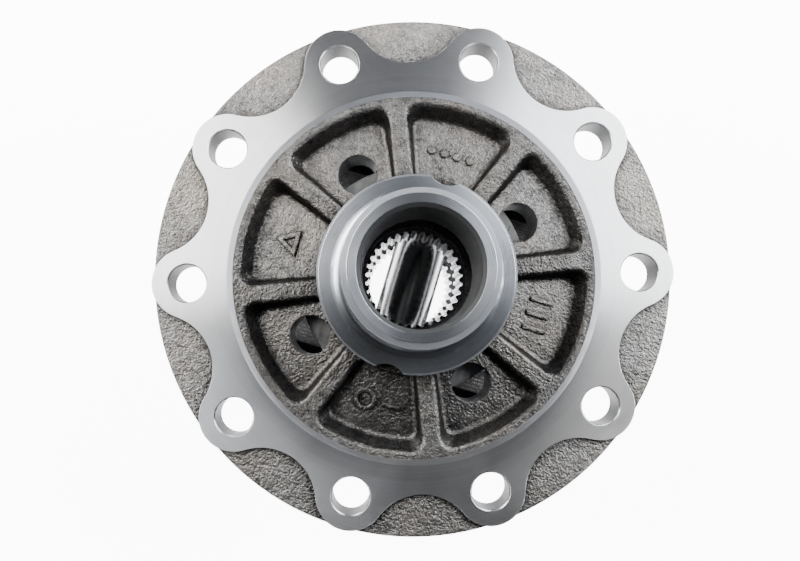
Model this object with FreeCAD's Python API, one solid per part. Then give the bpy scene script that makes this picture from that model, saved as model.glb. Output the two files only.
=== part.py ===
import FreeCAD, Part
import math
import os

# Limited-slip differential for a rear axle, in millimetres.
# Z is the axle axis and the cross shaft lies along Y. The origin is the centre of the
# bolt circle on the flange's machined face; +Z points out of the upper bearing journal.

VEC = FreeCAD.Vector
ORIGIN = VEC(0, 0, 0)
X_AXIS = VEC(1, 0, 0)
Y_AXIS = VEC(0, 1, 0)
Z_AXIS = VEC(0, 0, 1)

# Cutters run this far past the surface they open
PAST = 1.0

# Flange
BOLT_COUNT = 10
BOLT_CIRCLE_R = 84.0
BOLT_HOLE_R = 7.0
BOLT_START_DEG = 18.0
BOLT_HOLE_CHAMFER = 0.4
FLANGE_R = 97.7
FLANGE_FRONT_R = 95.6
FLANGE_THICKNESS = 15.5
FLANGE_BAND = 7.0
LOBE_R = 12.9
SCALLOP_INNER_R = 80.2
SCALLOP_DEPTH = 2.2
LOBE_DEPTH = 7.0
LOBE_ROOT = 3.0
PILOT_R = 70.0
PILOT_LENGTH = 11.0

# Ribbed end wall inside the flange
FACE_INNER_R = 69.5
RING_INNER_R = 67.6
CREST_Z = -1.0
POCKET_FLOOR_Z = -7.6
FLOOR_EDGE_Z = -7.0
FLOOR_HUB_Z = -3.6
POCKET_COUNT = 8
POCKET_TOP_R = 65.0
POCKET_FLOOR_R = 60.0
POCKET_TOP_HUB_R = 35.0
POCKET_FLOOR_HUB_R = 36.6
RIB_HALF_TOP = 3.4
RIB_HALF_FLOOR = 5.6
POCKET_CORNER_R = 4.5
POCKET_FLOOR_FILLET = 2.0
RIB_CREST_FILLET = 1.6
POCKET_HOLE_R = 7.5
POCKET_HOLE_CIRCLE_R = 44.5
MARK_HEIGHT = 1.0
MARK_R = 48.5
MARK_LINE = 1.5
MARK_BAR_LENGTH = 9.0
MARK_BAR_STEP = 5.5
MARK_DOT_R = 1.5
MARK_DOT_STEP = 5.0
MARK_TRIANGLE_R = 5.8
MARK_RING_R = 4.2
MARK_RING_OFFSET = 5.0
MARK_DASH_LENGTH = 7.0

# Hubs and bearing journals
JOURNAL_R = 25.4
JOURNAL_CHAMFER = 1.9
UPPER_END_Z = 57.3
UPPER_SHOULDER_Z = 21.5
SHOULDER_R = 35.2
SHOULDER_CHAMFER = 0.8
JOURNAL_ROOT_FILLET = 5.0
HUB_SKIRT_R = 37.0
HUB_SKIRT_TOP_Z = 3.0
LOWER_SHOULDER_Z = -110.0
LOWER_SHOULDER_R = 33.5
LOWER_END_Z = -130.0
LOWER_JOURNAL_CHAMFER = 1.2
LOWER_COLLAR_R = 35.0
LOWER_COLLAR_Z = -107.0
LOWER_NECK_R = 39.0
LOWER_NECK_Z = -105.5
BARREL_END_R = 58.0
BARREL_END_Z = -102.0
BARREL_LOW_Z = -94.0
PILOT_FOOT = 1.5
PILOT_FOOT_HEIGHT = 3.0
EDGE_CHAMFER = 0.8
NOTCH_R = 7.6
NOTCH_DEPTH = 2.5
NOTCH_FLOOR_Z = 17.5
UPPER_BORE_R = 19.2
UPPER_BORE_STEP_Z = 20.0
BORE_RELIEF_R = 23.8
BORE_RELIEF_TOP_Z = 15.0
MOUTH_CHAMFER = 1.3
LOWER_BORE_R = 21.6
LOWER_MOUTH_CHAMFER = 1.0
BORE_RELIEF_LOW_Z = 1.0
HUB_END_GAP = 1.0

# Gear case
CENTRE_Z = -55.0
CASE_R = 63.5
CAVITY_R = 51.6
PACK_BORE_R = 45.0
PACK_WALL_HEIGHT = 42.0
WINDOW_HALF_WIDTH = 44.0
WINDOW_HALF_HEIGHT = 27.5
WINDOW_CORNER_R = 15.0
EAR_HALF_WIDTH = 6.0
EAR_R = 50.2
EAR_SLOT_CLEARANCE = 0.4
EAR_SLOT_BOTTOM = 26.0
LOWER_OIL_HOLE_R = 5.0
LOWER_OIL_HOLE_CIRCLE_R = 42.5

# Cross shaft and its lock bolt
SHAFT_R = 11.1
SHAFT_HALF_LENGTH = 62.3
SHAFT_FIT = 0.05
SHAFT_CHAMFER = 0.8
FLAT_START_Y = 1.0
FLAT_END_Y = 50.0
FLAT_RUN_IN = 8.0
FLAT_TILT_DEG = 2.4
FLAT_LIFT_DEG = 20.0
LOCK_BOLT_Y = 56.2
LOCK_BOLT_R = 4.0
LOCK_BOLT_FIT = 0.1
LOCK_BOLT_SEAT_Z = -99.0
LOCK_BOLT_TOP_Z = -38.0
LOCK_HEAD_R = 7.2
LOCK_HEAD_HEIGHT = 5.0
LOCK_FLANGE_R = 8.0
LOCK_FLANGE_HEIGHT = 1.6
LOCK_SEAT_R = 9.0

# Bevel gears
SIDE_TEETH = 16
PINION_TEETH = 10
MODULE = 5.2
PRESSURE_DEG = 22.5
FACE_WIDTH = 16.5
SIDE_ADDENDUM = 0.55 * MODULE
SIDE_DEDENDUM = 1.25 * MODULE
PINION_ADDENDUM = 1.05 * MODULE
PINION_DEDENDUM = 0.75 * MODULE
THICKNESS_SHIFT = 0.20 * MODULE
BACKLASH = 0.36
PINION_BACK_R = 50.0
WASHER_INNER_R = 50.1
WASHER_OUTER_R = 51.5
WASHER_BORE_R = 11.6
WASHER_RIM_R = 24.5

# Side gear hub
SPLINE_TEETH = 34
SPLINE_MINOR_R = 17.46
SPLINE_MAJOR_R = 18.65
SPLINE_HALF_WIDE = 1.10
SPLINE_HALF_NARROW = 0.45
SPLINE_CHAMFER = 1.3
SPLINE_TOP = 43.3
NOSE_R = 22.6
NOSE_HEIGHT = 11.9
GEAR_BACK = 33.2
PACK_SPLINE_TEETH = 28
PACK_SPLINE_ROOT_R = 25.4
PACK_SPLINE_TIP_R = 27.0
PACK_SPLINE_HALF_WIDE = 1.7
PACK_SPLINE_HALF_NARROW = 1.2
PACK_SPLINE_FIT = 0.12
PILOT_HUB_R = 23.2
PILOT_HUB_BORE_R = 23.25
PILOT_HUB_TOP = 46.5
HUB_COUNTERBORE_R = 19.8

# Clutch plates, stacked from the side gear's back to the end wall
PLATE_PAIRS = 3
FRICTION_THICKNESS = 1.40
STEEL_THICKNESS = 1.30
SHIM_THICKNESS = 0.70
FRICTION_R = 44.0
STEEL_R = 43.7
SHIM_R = 43.0
PLATE_BORE_R = 27.9

CONE_SIDE_DEG = math.degrees(math.atan2(SIDE_TEETH, PINION_TEETH))
CONE_PINION_DEG = 90.0 - CONE_SIDE_DEG
CONE_DISTANCE = MODULE * PINION_TEETH / 2 / math.sin(math.radians(CONE_PINION_DEG))


def polar(radius, degrees, z=0.0):
    angle = math.radians(degrees)
    return VEC(radius * math.cos(angle), radius * math.sin(angle), z)


def rod(radius, z_low, z_high, x=0.0, y=0.0):
    return Part.makeCylinder(radius, z_high - z_low, VEC(x, y, z_low))


def cone(radius_low, radius_high, z_low, z_high):
    return Part.makeCone(radius_low, radius_high, z_high - z_low, VEC(0, 0, z_low))


def block(x_low, x_high, y_low, y_high, z_low, z_high):
    corner = VEC(x_low, y_low, z_low)
    return Part.makeBox(x_high - x_low, y_high - y_low, z_high - z_low, corner)


def turned(profile):
    """Solid of revolution about Z of a closed (radius, height) outline."""
    points = [VEC(radius, 0, z) for radius, z in profile]
    face = Part.Face(Part.makePolygon(points + points[:1]))
    return face.revolve(ORIGIN, Z_AXIS, 360)


def spun(shape, degrees):
    copy = shape.copy()
    copy.rotate(ORIGIN, Z_AXIS, degrees)
    return copy


def ring_of(shape, count, start_deg=0.0):
    return [spun(shape, start_deg + 360.0 * index / count) for index in range(count)]


def prism(points, z_low, z_high):
    outline = [VEC(point.x, point.y, z_low) for point in points]
    face = Part.Face(Part.makePolygon(outline + outline[:1]))
    return face.extrude(VEC(0, 0, z_high - z_low))


def star_prism(z_low, z_high):
    """Ten round lobes, one about each bolt hole, joined by hollow arcs."""
    half_step = 180.0 / BOLT_COUNT
    cos_step = math.cos(math.radians(half_step))
    gap = BOLT_CIRCLE_R ** 2 + SCALLOP_INNER_R ** 2 - LOBE_R ** 2
    slope = 2 * BOLT_CIRCLE_R * cos_step
    scallop_r = (gap - slope * SCALLOP_INNER_R) / (2 * LOBE_R - 2 * SCALLOP_INNER_R + slope)
    scallop_centre_r = SCALLOP_INNER_R + scallop_r
    edges = []
    for index in range(BOLT_COUNT):
        lobe_deg = BOLT_START_DEG + 2 * half_step * index
        lobe = polar(BOLT_CIRCLE_R, lobe_deg)
        before = polar(scallop_centre_r, lobe_deg - half_step)
        after = polar(scallop_centre_r, lobe_deg + half_step)
        previous = polar(BOLT_CIRCLE_R, lobe_deg - 2 * half_step)
        start = lobe + (before - lobe).normalize() * LOBE_R
        end = lobe + (after - lobe).normalize() * LOBE_R
        entry = previous + (before - previous).normalize() * LOBE_R
        valley = polar(SCALLOP_INNER_R, lobe_deg - half_step)
        crown = polar(BOLT_CIRCLE_R + LOBE_R, lobe_deg)
        edges.append(Part.Arc(entry, valley, start).toShape())
        edges.append(Part.Arc(start, crown, end).toShape())
    face = Part.Face(Part.Wire(edges))
    face.translate(VEC(0, 0, z_low))
    return face.extrude(VEC(0, 0, z_high - z_low))


def flange_lobes():
    """Machined lobes that stand a little proud of the flange's drafted rim."""
    inside = rod(SCALLOP_INNER_R - LOBE_ROOT, -LOBE_DEPTH - PAST, PAST)
    return star_prism(-LOBE_DEPTH, 0).cut(inside)


def scallop_cutter():
    return rod(FLANGE_R + PAST, -SCALLOP_DEPTH, PAST).cut(star_prism(-SCALLOP_DEPTH, PAST))


def pocket_wire(outer_r, hub_r, rib_half, z):
    """Outline between two ribs: two straight sides, an outer arc and a hub arc."""
    half_sector = math.pi / POCKET_COUNT
    outer_turn = half_sector - math.asin(rib_half / outer_r)
    hub_turn = half_sector - math.asin(rib_half / hub_r)
    corners = [
        VEC(radius * math.cos(turn), radius * math.sin(turn), z)
        for radius, turn in (
            (hub_r, -hub_turn), (outer_r, -outer_turn), (outer_r, outer_turn), (hub_r, hub_turn),
        )
    ]
    edges = [
        Part.LineSegment(corners[0], corners[1]).toShape(),
        Part.Arc(corners[1], VEC(outer_r, 0, z), corners[2]).toShape(),
        Part.LineSegment(corners[2], corners[3]).toShape(),
        Part.Arc(corners[3], VEC(hub_r, 0, z), corners[0]).toShape(),
    ]
    return Part.Wire(edges)


def edges_where(shape, test):
    return [edge for edge in shape.Edges if test(edge.BoundBox)]


def floor_at(radius):
    share = (POCKET_FLOOR_R - radius) / (POCKET_FLOOR_R - POCKET_FLOOR_HUB_R)
    return FLOOR_EDGE_Z + share * (FLOOR_HUB_Z - FLOOR_EDGE_Z)


def pocket_floor():
    """Ground under the pockets: it rises from the rim towards the hub."""
    low_z = POCKET_FLOOR_Z - 5
    inner_r = POCKET_TOP_HUB_R - 5
    return turned([
        (inner_r, low_z), (POCKET_TOP_R, low_z), (POCKET_TOP_R, floor_at(POCKET_TOP_R)),
        (inner_r, floor_at(inner_r)),
    ])


def pocket_cutter():
    """Drafted pocket with rounded corners and a rounded, sloping floor."""
    floor = pocket_wire(POCKET_FLOOR_R, POCKET_FLOOR_HUB_R, RIB_HALF_FLOOR, POCKET_FLOOR_Z)
    top = pocket_wire(POCKET_TOP_R, POCKET_TOP_HUB_R, RIB_HALF_TOP, CREST_Z)
    cutter = Part.makeLoft([floor, top], True, True)
    upright = edges_where(cutter, lambda box: box.ZLength > 1.0)
    outer = [edge for edge in upright if edge.CenterOfMass.x > POCKET_HOLE_CIRCLE_R]
    cutter = cutter.makeFillet(POCKET_CORNER_R, outer)
    cutter = cutter.cut(pocket_floor())
    floor_face = max(cutter.Faces, key=lambda face: -face.CenterOfMass.z)
    return cutter.makeFillet(POCKET_FLOOR_FILLET, floor_face.Edges)


def mark_bar(offset):
    half_length = MARK_BAR_LENGTH / 2
    half_line = MARK_LINE / 2
    return block(
        MARK_R - half_length, MARK_R + half_length, offset - half_line, offset + half_line,
        POCKET_FLOOR_Z, 0,
    )


def mark_triangle(radius):
    corners = [polar(radius, turn) + VEC(MARK_R, 0, 0) for turn in (0, 120, 240)]
    return prism(corners, POCKET_FLOOR_Z, 0)


def casting_marks():
    """Plain raised foundry marks: bars, dots, a triangle, and a ring with a dash."""
    bars = [mark_bar(MARK_BAR_STEP * step) for step in (-1, 0, 1)]
    dots = [
        rod(MARK_DOT_R, POCKET_FLOOR_Z, 0, MARK_R, MARK_DOT_STEP * step) for step in (-1.5, -0.5, 0.5, 1.5)
    ]
    triangle = mark_triangle(MARK_TRIANGLE_R).cut(mark_triangle(MARK_TRIANGLE_R - 2 * MARK_LINE))
    ring = rod(MARK_RING_R, POCKET_FLOOR_Z, 0, MARK_R, -MARK_RING_OFFSET)
    ring = ring.cut(rod(MARK_RING_R - MARK_LINE, POCKET_FLOOR_Z, 0, MARK_R, -MARK_RING_OFFSET))
    half_line = MARK_LINE / 2
    dash = block(
        MARK_R - half_line, MARK_R + half_line, MARK_LINE, MARK_LINE + MARK_DASH_LENGTH,
        POCKET_FLOOR_Z, 0,
    )
    marks = bars + [spun(dot, 90) for dot in dots]
    marks += [spun(triangle, 180), spun(ring, 270), spun(dash, 270)]
    raised_floor = pocket_floor()
    raised_floor.translate(VEC(0, 0, MARK_HEIGHT))
    return [mark.common(raised_floor) for mark in marks]


def case_outside():
    end_r = JOURNAL_R - JOURNAL_CHAMFER
    flange_rear = -FLANGE_THICKNESS
    pilot_low = flange_rear - PILOT_LENGTH
    front = [
        (0, UPPER_END_Z), (end_r, UPPER_END_Z), (JOURNAL_R, UPPER_END_Z - JOURNAL_CHAMFER),
        (JOURNAL_R, UPPER_SHOULDER_Z), (SHOULDER_R - SHOULDER_CHAMFER, UPPER_SHOULDER_Z),
        (SHOULDER_R, UPPER_SHOULDER_Z - SHOULDER_CHAMFER), (SHOULDER_R, HUB_SKIRT_TOP_Z),
        (HUB_SKIRT_R, CREST_Z), (RING_INNER_R, CREST_Z), (FACE_INNER_R, 0), (FLANGE_FRONT_R, 0),
    ]
    rim = [
        (FLANGE_R, FLANGE_BAND + flange_rear), (FLANGE_R, EDGE_CHAMFER + flange_rear),
        (FLANGE_R - EDGE_CHAMFER, flange_rear), (PILOT_R, flange_rear),
        (PILOT_R, pilot_low + EDGE_CHAMFER), (PILOT_R - EDGE_CHAMFER, pilot_low),
    ]
    barrel = [
        (CASE_R + PILOT_FOOT, pilot_low), (CASE_R, pilot_low - PILOT_FOOT_HEIGHT),
        (CASE_R, BARREL_LOW_Z), (BARREL_END_R, BARREL_END_Z), (LOWER_NECK_R, LOWER_NECK_Z),
        (LOWER_COLLAR_R, LOWER_COLLAR_Z), (LOWER_SHOULDER_R, LOWER_SHOULDER_Z + EDGE_CHAMFER),
        (LOWER_SHOULDER_R - EDGE_CHAMFER, LOWER_SHOULDER_Z),
    ]
    lower_journal = [
        (JOURNAL_R, LOWER_SHOULDER_Z), (JOURNAL_R, LOWER_END_Z + LOWER_JOURNAL_CHAMFER),
        (JOURNAL_R - LOWER_JOURNAL_CHAMFER, LOWER_END_Z), (0, LOWER_END_Z),
    ]
    return turned(front + rim + barrel + lower_journal)


def case_bores():
    upper_wall = CENTRE_Z + PACK_WALL_HEIGHT
    lower_wall = CENTRE_Z - PACK_WALL_HEIGHT
    lower_step = CENTRE_Z - PILOT_HUB_TOP - HUB_END_GAP
    mouth_r = UPPER_BORE_R + MOUTH_CHAMFER
    lower_mouth_r = LOWER_BORE_R + LOWER_MOUTH_CHAMFER
    return [
        rod(UPPER_BORE_R, UPPER_BORE_STEP_Z - PAST, UPPER_END_Z + PAST),
        cone(UPPER_BORE_R, mouth_r, UPPER_END_Z - MOUTH_CHAMFER, UPPER_END_Z),
        cone(BORE_RELIEF_R, UPPER_BORE_R, BORE_RELIEF_TOP_Z, UPPER_BORE_STEP_Z),
        rod(BORE_RELIEF_R, BORE_RELIEF_LOW_Z, BORE_RELIEF_TOP_Z),
        rod(PILOT_HUB_BORE_R, upper_wall - PAST, BORE_RELIEF_LOW_Z + PAST),
        rod(PACK_BORE_R, lower_wall, upper_wall),
        Part.makeSphere(CAVITY_R, VEC(0, 0, CENTRE_Z)),
        rod(PILOT_HUB_BORE_R, lower_step, lower_wall + PAST),
        rod(LOWER_BORE_R, LOWER_END_Z - PAST, lower_step + PAST),
        cone(lower_mouth_r, LOWER_BORE_R, LOWER_END_Z, LOWER_END_Z + LOWER_MOUTH_CHAMFER),
    ]


def window_cutter():
    """One rounded opening that runs along X through both sides of the case."""
    window = block(
        -PILOT_R - PAST, PILOT_R + PAST, -WINDOW_HALF_WIDTH, WINDOW_HALF_WIDTH,
        CENTRE_Z - WINDOW_HALF_HEIGHT, CENTRE_Z + WINDOW_HALF_HEIGHT,
    )
    corners = edges_where(window, lambda box: box.XLength > CASE_R)
    return window.makeFillet(WINDOW_CORNER_R, corners)


def ear_slots():
    """Slots that hold the steel plates' ears, four above and four below."""
    half = EAR_HALF_WIDTH + EAR_SLOT_CLEARANCE
    reach = EAR_R + EAR_SLOT_CLEARANCE
    slots = []
    for low, high in ((EAR_SLOT_BOTTOM, PACK_WALL_HEIGHT), (-PACK_WALL_HEIGHT, -EAR_SLOT_BOTTOM)):
        slot = block(PACK_BORE_R - 5, reach, -half, half, CENTRE_Z + low, CENTRE_Z + high)
        slots += ring_of(slot, 4)
    return slots


def hub_notches():
    """Two round puller notches in the upper bearing shoulder, in line with the cross shaft."""
    notch_y = SHOULDER_R - NOTCH_DEPTH + NOTCH_R
    return ring_of(rod(NOTCH_R, NOTCH_FLOOR_Z, UPPER_SHOULDER_Z + PAST, 0, notch_y), 2)


def bolt_holes():
    hole = rod(BOLT_HOLE_R, -FLANGE_THICKNESS - PAST, PAST, BOLT_CIRCLE_R)
    wide = BOLT_HOLE_R + BOLT_HOLE_CHAMFER
    top = cone(BOLT_HOLE_R, wide, -BOLT_HOLE_CHAMFER, 0)
    bottom = cone(wide, BOLT_HOLE_R, -FLANGE_THICKNESS, BOLT_HOLE_CHAMFER - FLANGE_THICKNESS)
    top.translate(VEC(BOLT_CIRCLE_R, 0, 0))
    bottom.translate(VEC(BOLT_CIRCLE_R, 0, 0))
    return ring_of(hole.fuse([top, bottom]), BOLT_COUNT, BOLT_START_DEG)


def hub_skirt_cutter():
    """Takes the skirt off the hub, so that the ribs and pockets run up to its straight side."""
    skirt = rod(HUB_SKIRT_R + PAST, CREST_Z, HUB_SKIRT_TOP_Z + PAST)
    return skirt.cut(rod(SHOULDER_R, CREST_Z - PAST, HUB_SKIRT_TOP_Z + 2 * PAST))


def oil_holes():
    upper = rod(POCKET_HOLE_R, CENTRE_Z + EAR_SLOT_BOTTOM, CREST_Z, POCKET_HOLE_CIRCLE_R)
    lower = rod(LOWER_OIL_HOLE_R, LOWER_SHOULDER_Z, CENTRE_Z - EAR_SLOT_BOTTOM, LOWER_OIL_HOLE_CIRCLE_R)
    return ring_of(upper, 4, 45) + ring_of(lower, 4, 45)


def lock_bolt_hole():
    radius = LOCK_BOLT_R + LOCK_BOLT_FIT
    shank = rod(radius, LOCK_BOLT_SEAT_Z - PAST, LOCK_BOLT_TOP_Z + PAST, 0, LOCK_BOLT_Y)
    seat = rod(LOCK_SEAT_R, LOWER_SHOULDER_Z, LOCK_BOLT_SEAT_Z, 0, LOCK_BOLT_Y)
    return [shank, seat]


def rib_crest_edges(case):
    """Edges where the pockets meet the flat crest of the ribs and rim."""
    def on_crest(box):
        flat = box.ZLength < 0.01 and abs(box.ZMax - CREST_Z) < 0.01
        inside = max(abs(box.XMax), abs(box.XMin), abs(box.YMax), abs(box.YMin)) < POCKET_TOP_R + 0.5
        return flat and inside
    return [edge for edge in edges_where(case, on_crest) if edge.CenterOfMass.Length > 41.0]


def differential_case():
    body = case_outside().cut(ring_of(pocket_cutter(), POCKET_COUNT))
    body = body.makeFillet(RIB_CREST_FILLET, rib_crest_edges(body))
    body = body.fuse([flange_lobes()] + casting_marks())
    cutters = [hub_skirt_cutter(), scallop_cutter(), window_cutter()]
    cutters += case_bores() + ear_slots() + hub_notches() + bolt_holes() + oil_holes()
    cutters += lock_bolt_hole()
    shaft_hole = Part.makeCylinder(SHAFT_R + SHAFT_FIT, 4 * CASE_R, VEC(0, -2 * CASE_R, CENTRE_Z), Y_AXIS)
    cutters.append(shaft_hole)
    for cutter in cutters:
        body = body.cut(cutter)
    root = edges_where(
        body, lambda box: abs(box.ZMax - UPPER_SHOULDER_Z) < 0.01 and box.ZLength < 0.01
        and abs(box.XMax - JOURNAL_R) < 0.01)
    return body.makeFillet(JOURNAL_ROOT_FILLET, root)


def oil_flats():
    """Tapered flats on both sides of each half: above the middle at the front, below it at the rear."""
    flats = []
    for half_turn, lift in ((0, -FLAT_LIFT_DEG), (180, FLAT_LIFT_DEG)):
        for side_turn in (-lift, 180 + lift):
            flat = block(
                SHAFT_R, 2 * SHAFT_R, FLAT_START_Y - FLAT_RUN_IN, FLAT_END_Y, -SHAFT_R, SHAFT_R,
            )
            flat.rotate(VEC(SHAFT_R, FLAT_START_Y, 0), Z_AXIS, FLAT_TILT_DEG)
            flat.rotate(ORIGIN, Y_AXIS, side_turn)
            flat.rotate(ORIGIN, Z_AXIS, half_turn)
            flat.translate(VEC(0, 0, CENTRE_Z))
            flats.append(flat)
    return flats


def cross_shaft():
    length = 2 * SHAFT_HALF_LENGTH
    shaft = Part.makeCylinder(SHAFT_R, length, VEC(0, -SHAFT_HALF_LENGTH, CENTRE_Z), Y_AXIS)
    shaft = shaft.makeChamfer(SHAFT_CHAMFER, edges_where(shaft, lambda box: box.YLength < 0.01))
    hole_r = LOCK_BOLT_R + 2 * LOCK_BOLT_FIT
    bolt_hole = rod(hole_r, CENTRE_Z - 2 * SHAFT_R, CENTRE_Z + 2 * SHAFT_R, 0, LOCK_BOLT_Y)
    return shaft.cut(oil_flats() + [bolt_hole])


def cross_shaft_lock_bolt():
    shank = rod(LOCK_BOLT_R, LOCK_BOLT_SEAT_Z, LOCK_BOLT_TOP_Z, 0, LOCK_BOLT_Y)
    tip = edges_where(shank, lambda box: box.ZMin > LOCK_BOLT_TOP_Z - 0.1)
    shank = shank.makeChamfer(0.8, tip)
    flange_low = LOCK_BOLT_SEAT_Z - LOCK_FLANGE_HEIGHT
    flange = rod(LOCK_FLANGE_R, flange_low, LOCK_BOLT_SEAT_Z, 0, LOCK_BOLT_Y)
    corners = [polar(LOCK_HEAD_R, turn) for turn in range(0, 360, 60)]
    head = prism(corners, flange_low - LOCK_HEAD_HEIGHT, flange_low)
    head.translate(VEC(0, LOCK_BOLT_Y, 0))
    return shank.fuse([flange, head]).removeSplitter()


def splined_prism(teeth, root_r, tip_r, half_wide, half_narrow, z_low, z_high):
    """Outside spline: each tooth is wide at root_r and narrow at tip_r."""
    points = []
    for index in range(teeth):
        middle = 2 * math.pi * index / teeth
        for radius, across in ((root_r, -half_wide), (tip_r, -half_narrow), (tip_r, half_narrow), (root_r, half_wide)):
            turn = middle + math.asin(across / radius)
            points.append(VEC(radius * math.cos(turn), radius * math.sin(turn), 0))
    return prism(points, z_low, z_high)


def pack_spline(fit, z_low, z_high):
    return splined_prism(
        PACK_SPLINE_TEETH, PACK_SPLINE_ROOT_R + fit, PACK_SPLINE_TIP_R + fit,
        PACK_SPLINE_HALF_WIDE + fit, PACK_SPLINE_HALF_NARROW + fit, z_low, z_high)


def involute(angle):
    return math.tan(angle) - angle


def gap_outline(teeth, cone_deg, addendum, dedendum, thickness):
    """Half widths of one tooth gap against height above the pitch line, at the heel."""
    pressure = math.radians(PRESSURE_DEG)
    pitch_r = teeth * MODULE / 2 / math.cos(math.radians(cone_deg))
    base_r = pitch_r * math.cos(pressure)
    sector = MODULE * math.pi / pitch_r / 2
    flank = []
    steps = 6
    for step in range(steps + 1):
        height = -dedendum + (addendum + dedendum) * step / steps
        radius = pitch_r + height
        angle = math.acos(min(1.0, base_r / radius))
        half_tooth = thickness / 2 / pitch_r + involute(pressure) - involute(angle)
        half_gap = sector - half_tooth
        flank.append((radius * math.sin(half_gap), radius * math.cos(half_gap) - pitch_r))
    last, before = flank[-1], flank[-2]
    flank.append((2 * last[0] - before[0], 2 * last[1] - before[1]))
    return [(-across, up) for across, up in reversed(flank)] + flank


def gap_cutter(outline, cone_deg, inner_scale, outer_scale):
    """Pyramid slice whose edges all run to the gears' common apex at the origin."""
    cone_angle = math.radians(cone_deg)
    along = VEC(math.sin(cone_angle), 0, math.cos(cone_angle))
    outward = VEC(math.cos(cone_angle), 0, -math.sin(cone_angle))
    heel = [along * CONE_DISTANCE + outward * up + Y_AXIS * across for across, up in outline]
    inner = [point * inner_scale for point in heel]
    outer = [point * outer_scale for point in heel]
    faces = [Part.Face(Part.makePolygon(loop + loop[:1])) for loop in (inner, outer)]
    for index in range(len(heel)):
        following = (index + 1) % len(heel)
        loop = [inner[index], inner[following], outer[following], outer[index], inner[index]]
        faces.append(Part.Face(Part.makePolygon(loop)))
    solid = Part.Solid(Part.Shell(faces))
    if solid.Volume < 0:
        solid.reverse()
    return solid


def cone_point(cone_deg, distance, height):
    """(radius, height) of a point at a cone distance and a height above the pitch cone."""
    cone_angle = math.radians(cone_deg)
    scale = distance / CONE_DISTANCE
    return (
        distance * math.sin(cone_angle) + height * scale * math.cos(cone_angle),
        distance * math.cos(cone_angle) - height * scale * math.sin(cone_angle),
    )


def side_gear():
    """Side gear with its apex at the origin and its hub along +Z."""
    toe = CONE_DISTANCE - FACE_WIDTH
    heel_tip = cone_point(CONE_SIDE_DEG, CONE_DISTANCE, SIDE_ADDENDUM)
    toe_tip = cone_point(CONE_SIDE_DEG, toe, SIDE_ADDENDUM)
    toe_root = cone_point(CONE_SIDE_DEG, toe, -SIDE_DEDENDUM - 1.2)
    blank = turned([
        (0, NOSE_HEIGHT), (NOSE_R - 1, NOSE_HEIGHT), (NOSE_R, NOSE_HEIGHT + 1),
        (NOSE_R, toe_root[1]), toe_root, toe_tip, heel_tip,
        (heel_tip[0], GEAR_BACK - 1), (heel_tip[0] - 1, GEAR_BACK), (0, GEAR_BACK),
    ])
    thickness = MODULE * math.pi / 2 - THICKNESS_SHIFT - BACKLASH / 2
    outline = gap_outline(SIDE_TEETH, CONE_SIDE_DEG, SIDE_ADDENDUM, SIDE_DEDENDUM, thickness)
    gap = gap_cutter(outline, CONE_SIDE_DEG, 0.61, 1.03)
    gear = blank.cut(ring_of(gap, SIDE_TEETH, 180.0 / SIDE_TEETH))
    hub_top = PACK_WALL_HEIGHT - 0.2
    hub = pack_spline(0, GEAR_BACK - 1, hub_top)
    pilot = turned([
        (0, hub_top - 1), (PILOT_HUB_R, hub_top - 1), (PILOT_HUB_R, PILOT_HUB_TOP - 0.8),
        (PILOT_HUB_R - 0.8, PILOT_HUB_TOP), (0, PILOT_HUB_TOP),
    ])
    gear = gear.fuse([hub, pilot])
    major = SPLINE_MAJOR_R + 0.2
    bore = splined_prism(
        SPLINE_TEETH, SPLINE_MINOR_R, SPLINE_MAJOR_R, SPLINE_HALF_WIDE, SPLINE_HALF_NARROW,
        NOSE_HEIGHT - 1, PILOT_HUB_TOP + 1)
    nose_lead = cone(major, major - SPLINE_CHAMFER, NOSE_HEIGHT, NOSE_HEIGHT + SPLINE_CHAMFER)
    top_lead = cone(major - SPLINE_CHAMFER, major, SPLINE_TOP - SPLINE_CHAMFER, SPLINE_TOP)
    counterbore = rod(HUB_COUNTERBORE_R, SPLINE_TOP, PILOT_HUB_TOP + 1)
    return gear.cut([bore, nose_lead, top_lead, counterbore])


def pinion_gear():
    """Pinion with its apex at the origin and its back along +Z."""
    toe = CONE_DISTANCE - FACE_WIDTH
    toe_tip = cone_point(CONE_PINION_DEG, toe, PINION_ADDENDUM)
    toe_root = cone_point(CONE_PINION_DEG, toe, -PINION_DEDENDUM - 0.6)
    past_back = cone_point(CONE_PINION_DEG, 1.2 * CONE_DISTANCE, PINION_ADDENDUM)
    bore_r = SHAFT_R + SHAFT_FIT
    blank = turned([
        (bore_r, toe_root[1] - 0.6), (toe_root[0] - 0.8, toe_root[1] - 0.6), toe_root, toe_tip,
        past_back, (bore_r, past_back[1]),
    ])
    blank = blank.common(Part.makeSphere(PINION_BACK_R))
    thickness = MODULE * math.pi / 2 + THICKNESS_SHIFT - BACKLASH / 2
    outline = gap_outline(PINION_TEETH, CONE_PINION_DEG, PINION_ADDENDUM, PINION_DEDENDUM, thickness)
    gap = gap_cutter(outline, CONE_PINION_DEG, 0.55, 1.15)
    return blank.cut(ring_of(gap, PINION_TEETH, 90.0))


def pinion_thrust_washer():
    """Dished washer behind a pinion, centred on the gears' apex."""
    shell = Part.makeSphere(WASHER_OUTER_R).cut(Part.makeSphere(WASHER_INNER_R))
    rim = rod(WASHER_RIM_R, 0, 2 * WASHER_OUTER_R).cut(rod(WASHER_BORE_R, 0, 2 * WASHER_OUTER_R))
    return shell.common(rim)


def friction_plate():
    disc = rod(FRICTION_R, 0, FRICTION_THICKNESS)
    return disc.cut(pack_spline(PACK_SPLINE_FIT, -1, FRICTION_THICKNESS + 1))


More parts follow.
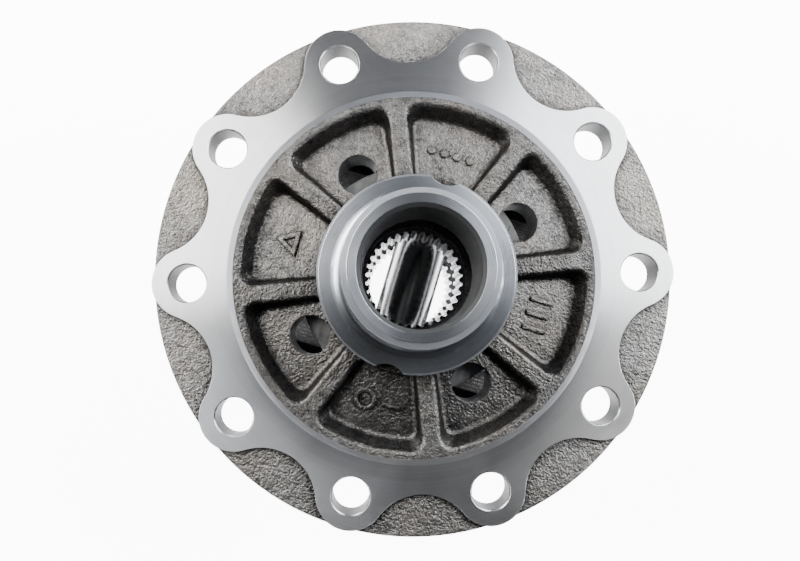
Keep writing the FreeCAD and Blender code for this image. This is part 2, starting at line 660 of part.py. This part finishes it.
def steel_plate():
    """Plain plate with four ears that stop it turning in the case."""
    disc = rod(STEEL_R, 0, STEEL_THICKNESS)
    ear = block(STEEL_R - 4, EAR_R, -EAR_HALF_WIDTH, EAR_HALF_WIDTH, 0, STEEL_THICKNESS)
    tips = edges_where(ear, lambda box: box.XMin > EAR_R - 0.1 and box.ZLength > 0.5)
    ears = ring_of(ear.makeFillet(2.0, tips), 4)
    return disc.fuse(ears).removeSplitter().cut(rod(PLATE_BORE_R, -1, STEEL_THICKNESS + 1))


def preload_shim():
    return rod(SHIM_R, 0, SHIM_THICKNESS).cut(rod(PLATE_BORE_R, -1, SHIM_THICKNESS + 1))


def facing_down(shape):
    """Half turn about Y: what points up along the axle points down instead."""
    copy = shape.copy()
    copy.rotate(ORIGIN, Y_AXIS, 180)
    return copy


def at_centre(shape):
    copy = shape.copy()
    copy.translate(VEC(0, 0, CENTRE_Z))
    return copy


def side_set(side, place):
    """Side gear, friction plates, steel plates and shim of one axle side."""
    parts = {side + "_side_gear": place(side_gear())}
    height = GEAR_BACK
    for number in range(1, PLATE_PAIRS + 1):
        for kind, plate, thickness in (
            ("friction_plate", friction_plate(), FRICTION_THICKNESS),
            ("steel_plate", steel_plate(), STEEL_THICKNESS),
        ):
            plate.translate(VEC(0, 0, height))
            parts["%s_%s_%d" % (side, kind, number)] = place(plate)
            height += thickness
    shim = preload_shim()
    shim.translate(VEC(0, 0, height))
    parts[side + "_preload_shim"] = place(shim)
    return parts


def pinion_set(side, turn_deg):
    """Pinion and thrust washer, tipped from Z onto the cross shaft."""
    parts = {}
    for name, shape in (("pinion_gear", pinion_gear()), ("pinion_thrust_washer", pinion_thrust_washer())):
        shape.rotate(ORIGIN, X_AXIS, turn_deg)
        parts["%s_%s" % (side, name)] = at_centre(shape)
    return parts


def build():
    parts = {
        "differential_case": differential_case(),
        "cross_shaft": cross_shaft(),
        "cross_shaft_lock_bolt": cross_shaft_lock_bolt(),
    }
    parts.update(side_set("upper", at_centre))
    parts.update(side_set("lower", lambda shape: at_centre(facing_down(shape))))
    parts.update(pinion_set("front", 90))
    parts.update(pinion_set("rear", -90))
    return parts


os.makedirs("parts", exist_ok=True)
for node, shape in build().items():
    shape.exportStep("parts/%s.step" % node)
    print(node, shape.ShapeType, len(shape.Solids), shape.isValid(), round(shape.Volume))
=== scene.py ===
import math

import bpy
import numpy as np
from mathutils import Matrix, Vector


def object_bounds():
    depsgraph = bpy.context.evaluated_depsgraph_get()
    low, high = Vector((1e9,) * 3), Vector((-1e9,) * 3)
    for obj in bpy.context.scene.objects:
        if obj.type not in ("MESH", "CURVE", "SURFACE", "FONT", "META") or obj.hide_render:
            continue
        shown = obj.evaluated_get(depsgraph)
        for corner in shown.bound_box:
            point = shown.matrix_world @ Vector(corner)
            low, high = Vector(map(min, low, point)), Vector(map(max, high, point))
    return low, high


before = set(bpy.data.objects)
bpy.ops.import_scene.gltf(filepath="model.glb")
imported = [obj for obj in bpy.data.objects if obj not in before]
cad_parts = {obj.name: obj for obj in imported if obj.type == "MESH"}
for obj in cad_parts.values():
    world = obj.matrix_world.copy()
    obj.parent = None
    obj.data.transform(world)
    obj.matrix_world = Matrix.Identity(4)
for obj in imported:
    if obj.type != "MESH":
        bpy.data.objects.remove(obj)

CAD_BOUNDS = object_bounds()
MM = 0.001

# Shape facts of the case in millimetres, used to tell machined faces from cast ones
BOLT_CIRCLE_R = 84.0
BOLT_COUNT = 10
BOLT_START_DEG = 18.0
BOLT_REACH = 7.7
POCKET_HOLE_CIRCLE_R = 44.5
POCKET_HOLE_REACH = 7.6
POCKET_HOLE_COUNT = 4
POCKET_HOLE_START_DEG = 45.0
CREST_Z = -1.0
LOWER_HUB_R = 34.0
RING_INNER_R = 67.5
FLANGE_REAR_Z = -15.5
FLANGE_REAR_BAND = 0.9
PILOT_BOTTOM_Z = -26.5
PILOT_INNER_R = 68.0
PILOT_SEAT_R = 69.0
PILOT_OUTER_R = 70.2
HUB_R = 35.3
HUB_CAST_TOP_Z = 19.5
BORE_REACH_R = 24.5
BORE_MOUTH_R = 22.0
RIM_CAST_R = 77.0
CAVITY_R = 54.5
CAVITY_TOP_Z = -12.8
CAVITY_LOW_Z = -97.3
CENTRE_Z = -55.0
SHAFT_REACH = 11.4
LOWER_HUB_Z = -107.5


# ---------------------------------------------------------------- node helpers

class Graph:
    """Small helper that adds and links shader nodes."""

    def __init__(self, name):
        self.material = bpy.data.materials.new(name)
        self.material.use_nodes = True
        self.tree = self.material.node_tree
        self.shader = self.tree.nodes["Principled BSDF"]

    def add(self, kind, inputs=(), **settings):
        node = self.tree.nodes.new(kind)
        for key, value in settings.items():
            setattr(node, key, value)
        for key, value in dict(inputs).items():
            self.feed(node.inputs[key], value)
        return node

    def feed(self, socket, value):
        if isinstance(value, bpy.types.NodeSocket):
            self.tree.links.new(value, socket)
        else:
            socket.default_value = value

    def set(self, **values):
        for key, value in values.items():
            self.feed(self.shader.inputs[key.replace("_", " ")], value)

    def math(self, operation, first, second=0.0):
        return self.add("ShaderNodeMath", {0: first, 1: second}, operation=operation).outputs[0]

    def place(self):
        return self.add("ShaderNodeTexCoord").outputs["Object"]

    def scaled(self, vector, scale):
        return self.add("ShaderNodeVectorMath", {0: vector, 1: scale}, operation="MULTIPLY").outputs[0]

    def noise(self, vector, scale, detail=3.0, roughness=0.55, distortion=0.0):
        return self.add("ShaderNodeTexNoise", {
            "Vector": vector, "Scale": scale, "Detail": detail, "Roughness": roughness,
            "Distortion": distortion,
        }).outputs["Fac"]

    def line_noise(self, value, scale, detail=3.0, roughness=0.6):
        node = self.add("ShaderNodeTexNoise", noise_dimensions="1D")
        self.feed(node.inputs["W"], value)
        self.feed(node.inputs["Scale"], scale)
        self.feed(node.inputs["Detail"], detail)
        self.feed(node.inputs["Roughness"], roughness)
        return node.outputs["Fac"]

    def remap(self, value, low, high, out_low, out_high):
        return self.add("ShaderNodeMapRange", {
            "Value": value, "From Min": low, "From Max": high, "To Min": out_low, "To Max": out_high,
        }).outputs["Result"]

    def blend(self, factor, first, second, mode="MIX"):
        inputs = {"Fac": factor, "Color1": first, "Color2": second}
        return self.add("ShaderNodeMixRGB", inputs, blend_type=mode).outputs["Color"]

    def patch(self, mask, low, high, strength, under, over):
        """Lay one colour over another where the mask passes from low to high."""
        return self.blend(self.remap(mask, low, high, 0.0, strength), under, over)

    def darken(self, tone, level):
        """Multiply a colour by a grey level."""
        shade = self.add("ShaderNodeCombineColor", {0: level, 1: level, 2: level}).outputs[0]
        return self.blend(1.0, tone, shade, "MULTIPLY")

    def sum(self, first, second, weight):
        """First height plus a weighted second one."""
        return self.math("ADD", first, self.math("MULTIPLY", second, weight))

    def bump(self, height, strength, distance, normal=None):
        node = self.add("ShaderNodeBump", {"Height": height, "Strength": strength, "Distance": distance})
        if normal is not None:
            self.feed(node.inputs["Normal"], normal)
        return node.outputs["Normal"]

    def soft_edges(self, radius):
        return self.add("ShaderNodeBevel", {"Radius": radius}, samples=4).outputs["Normal"]

    # Ambient occlusion factor, used to paint shade into corners and recesses.
    def corner_shade(self, distance):
        node = self.add("ShaderNodeAmbientOcclusion", {"Distance": distance}, samples=6)
        return node.outputs["AO"]

    def around(self):
        return self.add("ShaderNodeTangent", direction_type="RADIAL", axis="Z").outputs["Tangent"]


def grey(level, blue=0.0):
    return (level * (1 - blue), level * (1 - 0.3 * blue), level * (1 + blue), 1.0)


# ---------------------------------------------------------------- materials
# Densities are features per metre; reaches, edges and reliefs are in metres.

LUMP_DENSITY = 150.0
GRIT_DENSITY = 520.0
SAND_DENSITY = 1250.0
PIT_DENSITY = 900.0
SPECKLE_DENSITY = 2100.0
STAIN_DENSITY = 28.0
# Light grey for the sand speckles, painted partly as glints on the grains.
SPECKLE_GLINT_TONE = (0.20, 0.197, 0.193, 1.0)
CORNER_SHADE_REACH = 7.0 * MM
CAST_RELIEF = 0.30 * MM
CAST_EDGE = 0.9 * MM
RING_DENSITY = 2600.0
BAND_DENSITY = 260.0
SMUDGE_DENSITY = 42.0
SCRATCH_DENSITY = 420.0
QUARTER_TURN = 0.25
TOOTH_SHADE_REACH = 2.5 * MM
LAY_DENSITY = 700.0


def cast_iron(name, dark, light):
    """As-cast iron: sharp sand grain, soft lumps, brown-grey mottling, lighter speckles that are partly
    grain and partly painted glints, and painted shade darkening the corners.
    """
    g = Graph(name)
    at = g.place()
    lumps = g.noise(at, LUMP_DENSITY, 4.0, 0.6)
    grit = g.noise(at, GRIT_DENSITY, 3.0, 0.6)
    sand = g.noise(at, SAND_DENSITY, 3.0, 0.65)
    pits = g.add("ShaderNodeTexVoronoi", {"Vector": at, "Scale": PIT_DENSITY}).outputs["Distance"]
    speckle_glint = g.noise(at, SPECKLE_DENSITY, 2.0, 0.5)
    stain = g.noise(at, STAIN_DENSITY, 3.0, 0.6)
    brown = (light[0], light[1] * 0.9, light[2] * 0.78, 1.0)
    mottle = g.sum(g.math("MULTIPLY", lumps, 0.45), grit, 0.55)
    tone = g.patch(mottle, 0.36, 0.64, 1.0, dark, light)
    tone = g.patch(stain, 0.46, 0.66, 0.4, tone, brown)
    # Lighter speckles: partly sand grain, partly painted glints.
    tone = g.patch(speckle_glint, 0.5, 0.68, 0.4, tone, SPECKLE_GLINT_TONE)
    # Painted shade: ambient occlusion darkens the cast skin in corners and recesses.
    tone = g.darken(tone, g.remap(g.corner_shade(CORNER_SHADE_REACH), 0.4, 0.97, 0.04, 1.0))
    height = g.sum(g.sum(g.sum(sand, pits, 0.4), grit, 0.7), lumps, 0.7)
    normal = g.bump(height, 1.0, CAST_RELIEF, g.soft_edges(CAST_EDGE))
    g.set(Base_Color=tone, Roughness=g.remap(sand, 0.3, 0.7, 0.26, 0.38), Normal=normal, Metallic=0.96)
    return g.material


def turned_steel(name, base, rough, spread, ring_scale=1.0, wear=0.5, blue=0.02, metallic=1.0):
    """Lathe-turned metal: fine rings about the axle axis, light scratches and smudges."""
    g = Graph(name)
    at = g.place()
    flat = g.scaled(at, (1.0, 1.0, 0.0))
    radius = g.add("ShaderNodeVectorMath", {0: flat}, operation="LENGTH").outputs["Value"]
    height = g.add("ShaderNodeSeparateXYZ", {0: at}).outputs[2]
    along = g.math("ADD", radius, height)
    rings = g.line_noise(along, RING_DENSITY * ring_scale, 4.0, 0.7)
    bands = g.line_noise(along, BAND_DENSITY, 2.0, 0.5)
    smudge = g.noise(at, SMUDGE_DENSITY, 4.0, 0.6, 0.4)
    scratch = g.noise(g.scaled(at, (1.0, 7.0, 1.0)), SCRATCH_DENSITY, 2.0, 0.5, 1.5)
    tone = g.patch(rings, 0.25, 0.75, 1.0, grey(base * 0.86, blue), grey(base * 1.1, blue))
    tone = g.patch(bands, 0.3, 0.7, 0.35, tone, grey(base * 0.8, blue))
    tone = g.patch(smudge, 0.5, 0.72, 0.4, tone, grey(base * 0.74, blue))
    tone = g.patch(scratch, 0.70, 0.76, wear, tone, grey(min(1.0, base * 1.35)))
    normal = g.bump(rings, 0.28, 0.05 * MM, g.soft_edges(0.25 * MM))
    roughness = g.remap(g.math("ADD", rings, smudge), 0.7, 1.3, rough - 0.05, rough + 0.07)
    g.set(Base_Color=tone, Roughness=roughness, Normal=normal, Tangent=g.around())
    g.set(Metallic=metallic, Anisotropic=spread, Anisotropic_Rotation=QUARTER_TURN)
    return g.material


def ground_shaft(name):
    """Ground and oiled cross shaft: faint streaks along its length."""
    g = Graph(name)
    at = g.place()
    streaks = g.noise(g.scaled(at, (1.0, 0.03, 1.0)), 900.0, 3.0, 0.6)
    patches = g.noise(at, 60.0, 3.0, 0.55)
    tone = g.patch(streaks, 0.3, 0.7, 1.0, grey(0.26, 0.03), grey(0.38, 0.01))
    tone = g.patch(patches, 0.5, 0.7, 0.3, tone, (0.22, 0.20, 0.18, 1.0))
    normal = g.bump(streaks, 0.03, 0.01 * MM, g.soft_edges(1.5 * MM))
    g.set(Base_Color=tone, Roughness=g.remap(streaks, 0.3, 0.7, 0.16, 0.26), Normal=normal, Metallic=1.0)
    return g.material


def gear_steel(name, level, forged):
    """Forged and cut gear steel: dull patches, fine skin, painted shade darker between the teeth."""
    g = Graph(name)
    at = g.place()
    skin = g.noise(at, 520.0, 4.0, 0.6)
    patches = g.noise(at, 75.0, 3.0, 0.6)
    tone = g.patch(patches, 0.35, 0.65, 1.0, grey(level * 0.8, 0.04), grey(level * 1.15, 0.01))
    tone = g.patch(skin, 0.52, 0.7, 0.5, tone, grey(level * 0.6, 0.02))
    # Painted shade: ambient occlusion darkens the steel between the teeth.
    tone = g.darken(tone, g.remap(g.corner_shade(TOOTH_SHADE_REACH), 0.2, 0.8, 0.4, 1.0))
    normal = g.bump(skin, 0.3 * forged, 0.12 * MM, g.soft_edges(0.25 * MM))
    g.set(Base_Color=tone, Roughness=g.remap(skin, 0.3, 0.7, 0.24, 0.4), Normal=normal, Metallic=0.95)
    return g.material


def plate_steel(name, level, grooved):
    """Thin clutch plate: a fine woven lay on friction plates, rolled grain on plain ones."""
    g = Graph(name)
    at = g.place()
    lay = g.noise(g.scaled(at, (1.0, 0.08, 1.0)), LAY_DENSITY, 3.0, 0.6)
    cross = g.noise(g.scaled(at, (0.08, 1.0, 1.0)), LAY_DENSITY * grooved, 3.0, 0.6)
    mixed = g.sum(g.math("MULTIPLY", lay, 0.5), cross, 0.5)
    heat = g.noise(at, 35.0, 2.0, 0.5)
    straw = (level * 0.8, level * 0.66, level * 0.5, 1.0)
    tone = g.patch(mixed, 0.35, 0.65, 1.0, grey(level * 0.9, 0.02), grey(level * 1.08))
    tone = g.patch(heat, 0.5, 0.7, 0.35, tone, straw)
    normal = g.bump(mixed, 0.10, 0.02 * MM, g.soft_edges(0.1 * MM))
    g.set(Base_Color=tone, Roughness=g.remap(mixed, 0.35, 0.65, 0.24, 0.38), Normal=normal, Metallic=1.0)
    return g.material


def black_oxide(name):
    """Black-oxide bolt with rubbed patches."""
    g = Graph(name)
    at = g.place()
    wear = g.noise(at, 380.0, 4.0, 0.6)
    fine = g.noise(at, 2100.0, 2.0, 0.5)
    tone = g.patch(wear, 0.55, 0.72, 0.8, grey(0.035, 0.05), grey(0.16, 0.02))
    normal = g.bump(fine, 0.2, 0.05 * MM, g.soft_edges(0.2 * MM))
    g.set(Base_Color=tone, Roughness=g.remap(fine, 0.3, 0.7, 0.32, 0.46), Normal=normal, Metallic=0.8)
    return g.material


# ---------------------------------------------------------------- material slots

def facts(mesh):
    """Face centres in millimetres, face normals, and distances from the axle axis."""
    count = len(mesh.polygons)
    centre = np.zeros(count * 3, np.float32)
    normal = np.zeros(count * 3, np.float32)
    mesh.polygons.foreach_get("center", centre)
    mesh.polygons.foreach_get("normal", normal)
    centre = centre.reshape(-1, 3) / MM
    return centre, normal.reshape(-1, 3), np.hypot(centre[:, 0], centre[:, 1])


def near_ring(centre, circle_r, count, start_deg, reach):
    """Faces within reach of any of the evenly spaced holes on a circle."""
    found = np.zeros(len(centre), bool)
    for index in range(count):
        turn = math.radians(start_deg + 360.0 * index / count)
        away = np.hypot(centre[:, 0] - circle_r * math.cos(turn), centre[:, 1] - circle_r * math.sin(turn))
        found |= away < reach
    return found


def dress(node, materials, choice=None):
    """Replace a CAD node's material slots; choice gives the slot of each face."""
    mesh = node.data
    mesh.materials.clear()
    for material in materials:
        mesh.materials.append(material)
    if choice is None:
        choice = np.zeros(len(mesh.polygons), np.int32)
    mesh.polygons.foreach_set("material_index", choice.astype(np.int32))
    mesh.update()


def case_slots(mesh):
    """0 cast skin, 1 turned flange face, 2 turned hub and journals, 3 inner bores, cavity and hole walls
    in a near-black steel that paints their shade, 4 cast flange rim.
    """
    centre, normal, radius = facts(mesh)
    z = centre[:, 2]
    slots = np.zeros(len(z), np.int32)
    slots[radius > RIM_CAST_R] = 4
    tilt = normal[:, 2]
    slack = 0.05
    face = (z > CREST_Z - slack) & (z < slack) & (radius > RING_INNER_R) & (tilt > 0.5)
    rear = (np.abs(z - FLANGE_REAR_Z) < FLANGE_REAR_BAND) & (radius > PILOT_SEAT_R)
    pilot = (radius > PILOT_INNER_R) & (radius < PILOT_OUTER_R)
    pilot &= (z < FLANGE_REAR_Z + 2 * slack) & (z > PILOT_BOTTOM_Z - 4 * slack)
    holes = near_ring(centre, BOLT_CIRCLE_R, BOLT_COUNT, BOLT_START_DEG, BOLT_REACH)
    slots[face | rear | pilot | (holes & (np.abs(tilt) < 0.9))] = 1
    # Bolt-hole walls take the near-black slot 3: painted shade.
    slots[holes & (np.abs(tilt) < 0.3)] = 3
    upper = (z > HUB_CAST_TOP_Z) & (radius < HUB_R)
    lower = (z < LOWER_HUB_Z) & (radius < LOWER_HUB_R)
    slots[upper | lower] = 2
    bore = radius < BORE_REACH_R
    cavity = (radius < CAVITY_R) & (z < CAVITY_TOP_Z) & (z > CAVITY_LOW_Z)
    oil = near_ring(
        centre, POCKET_HOLE_CIRCLE_R, POCKET_HOLE_COUNT, POCKET_HOLE_START_DEG, POCKET_HOLE_REACH,
    )
    oil &= np.abs(tilt) < 0.5
    cross = (np.abs(centre[:, 0]) < SHAFT_REACH) & (np.abs(z - CENTRE_Z) < SHAFT_REACH)
    # Slot 3 paints shade: bores, oil holes, the inner cavity and the cross-shaft seats go near-black.
    slots[((bore | oil) & ~(slots == 2)) | cavity | cross] = 3
    bore_wall = (radius < BORE_MOUTH_R) & (tilt < 0.9)
    slots[bore_wall] = 3
    return slots


CAST = cast_iron("cast_iron_skin", (0.018, 0.0174, 0.0172, 1.0), (0.080, 0.0775, 0.0755, 1.0))
RIM_CAST = cast_iron("cast_iron_rim", (0.050, 0.048, 0.0465, 1.0), (0.150, 0.146, 0.143, 1.0))
FACE = turned_steel("turned_flange_face", 0.62, 0.35, 0.92)
HUB = turned_steel("turned_hub", 0.335, 0.31, 0.65, 1.4, 0.6, 0.07)
# Near-black copy of the turned steel that paints the shade inside bores, holes and the cavity.
SHADED_BORE = turned_steel("turned_bore_painted_shade", 0.018, 0.60, 0.3, 0.8, 0.15, 0.08, 0.3)
SHAFT = ground_shaft("ground_cross_shaft")
GEAR = gear_steel("side_gear_steel", 0.36, 1.0)
PINION = gear_steel("pinion_steel", 0.40, 1.2)
FRICTION = plate_steel("friction_plate_steel", 0.13, 1.0)
PLAIN = plate_steel("plain_plate_steel", 0.24, 0.15)
BOLT = black_oxide("black_oxide_bolt")

NODE_MATERIALS = (
    ("side_gear", GEAR), ("pinion_gear", PINION), ("friction_plate", FRICTION), ("steel_plate", PLAIN),
    ("preload_shim", PLAIN), ("thrust_washer", PLAIN), ("lock_bolt", BOLT), ("cross_shaft", SHAFT),
)

for name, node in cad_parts.items():
    if name == "differential_case":
        dress(node, [CAST, FACE, HUB, SHADED_BORE, RIM_CAST], case_slots(node.data))
        continue
    for key, material in NODE_MATERIALS:
        if key in name:
            dress(node, [material])
            break


# ---------------------------------------------------------------- studio

def floor_material():
    """Pale floor that glows like a light table below the part and is plain further out."""
    g = Graph("studio_floor")
    at = g.place()
    cloud = g.noise(at, 3.0, 2.0, 0.5)
    beside = g.add("ShaderNodeVectorMath", {0: at, 1: GLOW_CENTRE}, operation="SUBTRACT").outputs[0]
    away = g.add("ShaderNodeVectorMath", {0: beside}, operation="LENGTH").outputs["Value"]
    glow = g.remap(away, GLOW_INNER_R, GLOW_OUTER_R, FLOOR_GLOW, 0.0)
    g.set(Base_Color=g.blend(g.remap(cloud, 0.3, 0.7, 0.0, 1.0), grey(0.80), grey(0.86)))
    g.set(Roughness=0.7, Emission_Color=(1.0, 1.0, 1.0, 1.0), Emission_Strength=glow)
    return g.material


FLOOR_GLOW = 9.0
GLOW_CENTRE = (-0.06, 0.0, -0.13)
GLOW_INNER_R = 0.33
GLOW_OUTER_R = 0.50
FLOOR_HALF = 3.0
FLOOR_GAP = 0.4 * MM
floor_z = CAD_BOUNDS[0][2] - FLOOR_GAP
floor_mesh = bpy.data.meshes.new("studio_floor")
corners = [(-FLOOR_HALF, -FLOOR_HALF), (FLOOR_HALF, -FLOOR_HALF)]
corners += [(-x, -y) for x, y in corners]
floor_mesh.from_pydata([(x, y, floor_z) for x, y in corners], [], [(0, 1, 2, 3)])
floor = bpy.data.objects.new("studio_floor", floor_mesh)
floor.data.materials.append(floor_material())
bpy.context.scene.collection.objects.link(floor)


SOFTBOX_ELEVATION_DEG = 44.0
SOFTBOX_DISTANCE = 0.95
SOFTBOX_HEIGHT = 0.42


def softbox(name, azimuth_deg, width, watts, colour):
    """Area light aimed at the flange from a compass direction."""
    data = bpy.data.lights.new(name, "AREA")
    data.shape = "RECTANGLE"
    data.size = width
    data.size_y = SOFTBOX_HEIGHT
    data.energy = watts
    data.color = colour
    light = bpy.data.objects.new(name, data)
    turn = math.radians(azimuth_deg)
    lift = math.radians(SOFTBOX_ELEVATION_DEG)
    aim = Vector((math.cos(turn) * math.cos(lift), math.sin(turn) * math.cos(lift), math.sin(lift)))
    light.location = aim * SOFTBOX_DISTANCE
    light.rotation_euler = aim.to_track_quat("Z", "Y").to_euler()
    bpy.context.scene.collection.objects.link(light)


softbox("softbox_right", 46.0, 0.85, 36.0, (0.97, 0.985, 1.0))
softbox("softbox_left", 170.0, 0.75, 31.0, (1.0, 0.985, 0.95))

PALE_SIDE_DEG = 106.5
WALL_TONES = ((-1.0, 0.010), (0.0, 0.022), (0.14, 0.10), (0.34, 0.28), (1.0, 0.22))


def studio_world():
    """Studio walls: pale behind the part, dark on the side of the photographer."""
    world = bpy.data.worlds.new("studio_world")
    bpy.context.scene.world = world
    world.use_nodes = True
    tree = world.node_tree
    where = tree.nodes.new("ShaderNodeTexCoord")
    side = tree.nodes.new("ShaderNodeVectorMath")
    side.operation = "DOT_PRODUCT"
    turn = math.radians(PALE_SIDE_DEG)
    side.inputs[1].default_value = (math.cos(turn), math.sin(turn), 0.0)
    span = tree.nodes.new("ShaderNodeMapRange")
    span.inputs["From Min"].default_value = -1.0
    ramp = tree.nodes.new("ShaderNodeValToRGB")
    tree.links.new(where.outputs["Generated"], side.inputs[0])
    tree.links.new(side.outputs["Value"], span.inputs["Value"])
    tree.links.new(span.outputs["Result"], ramp.inputs[0])
    stops = ramp.color_ramp.elements
    while len(stops) < len(WALL_TONES):
        stops.new(0.5)
    for stop, (place_on_side, level) in zip(stops, WALL_TONES):
        stop.position = (place_on_side + 1.0) / 2.0
        stop.color = (level * 0.97, level * 0.985, level * 1.06, 1.0)
    background = tree.nodes["Background"]
    tree.links.new(ramp.outputs[0], background.inputs["Color"])
    background.inputs["Strength"].default_value = 1.0


studio_world()

# ---------------------------------------------------------------- camera
# The camera looks almost straight down the axle axis at the flange's star face.

UNIT = BOLT_CIRCLE_R * MM
TILT_X = math.radians(-0.99746)
TILT_Y = math.radians(1.97479)
ROLL = math.radians(-16.483)
OFFSET = Vector((0.01221, 0.15175, 0.0))
DISTANCE = 4.17225
FOCAL_PX = 945.0
IMAGE_WIDTH = 800.0
SENSOR_MM = 36.0
SHIFT_X = -0.015395
SHIFT_Y = 0.03958
CLIP_START = 0.01

turn = Matrix.Rotation(TILT_X, 3, "X") @ Matrix.Rotation(TILT_Y, 3, "Y")
turn = turn @ Matrix.Rotation(ROLL, 3, "Z")
camera_data = bpy.data.cameras.new("camera")
camera = bpy.data.objects.new("camera", camera_data)
camera_data.sensor_fit = "HORIZONTAL"
camera_data.sensor_width = SENSOR_MM
camera_data.lens = FOCAL_PX / IMAGE_WIDTH * SENSOR_MM
camera_data.shift_x = SHIFT_X
camera_data.shift_y = SHIFT_Y
camera_data.clip_start = CLIP_START
place = turn.transposed() @ ((Vector((0.0, 0.0, DISTANCE)) - OFFSET) * UNIT)
camera.matrix_world = Matrix.Translation(place) @ turn.transposed().to_4x4()
bpy.context.scene.collection.objects.link(camera)
bpy.context.scene.camera = camera
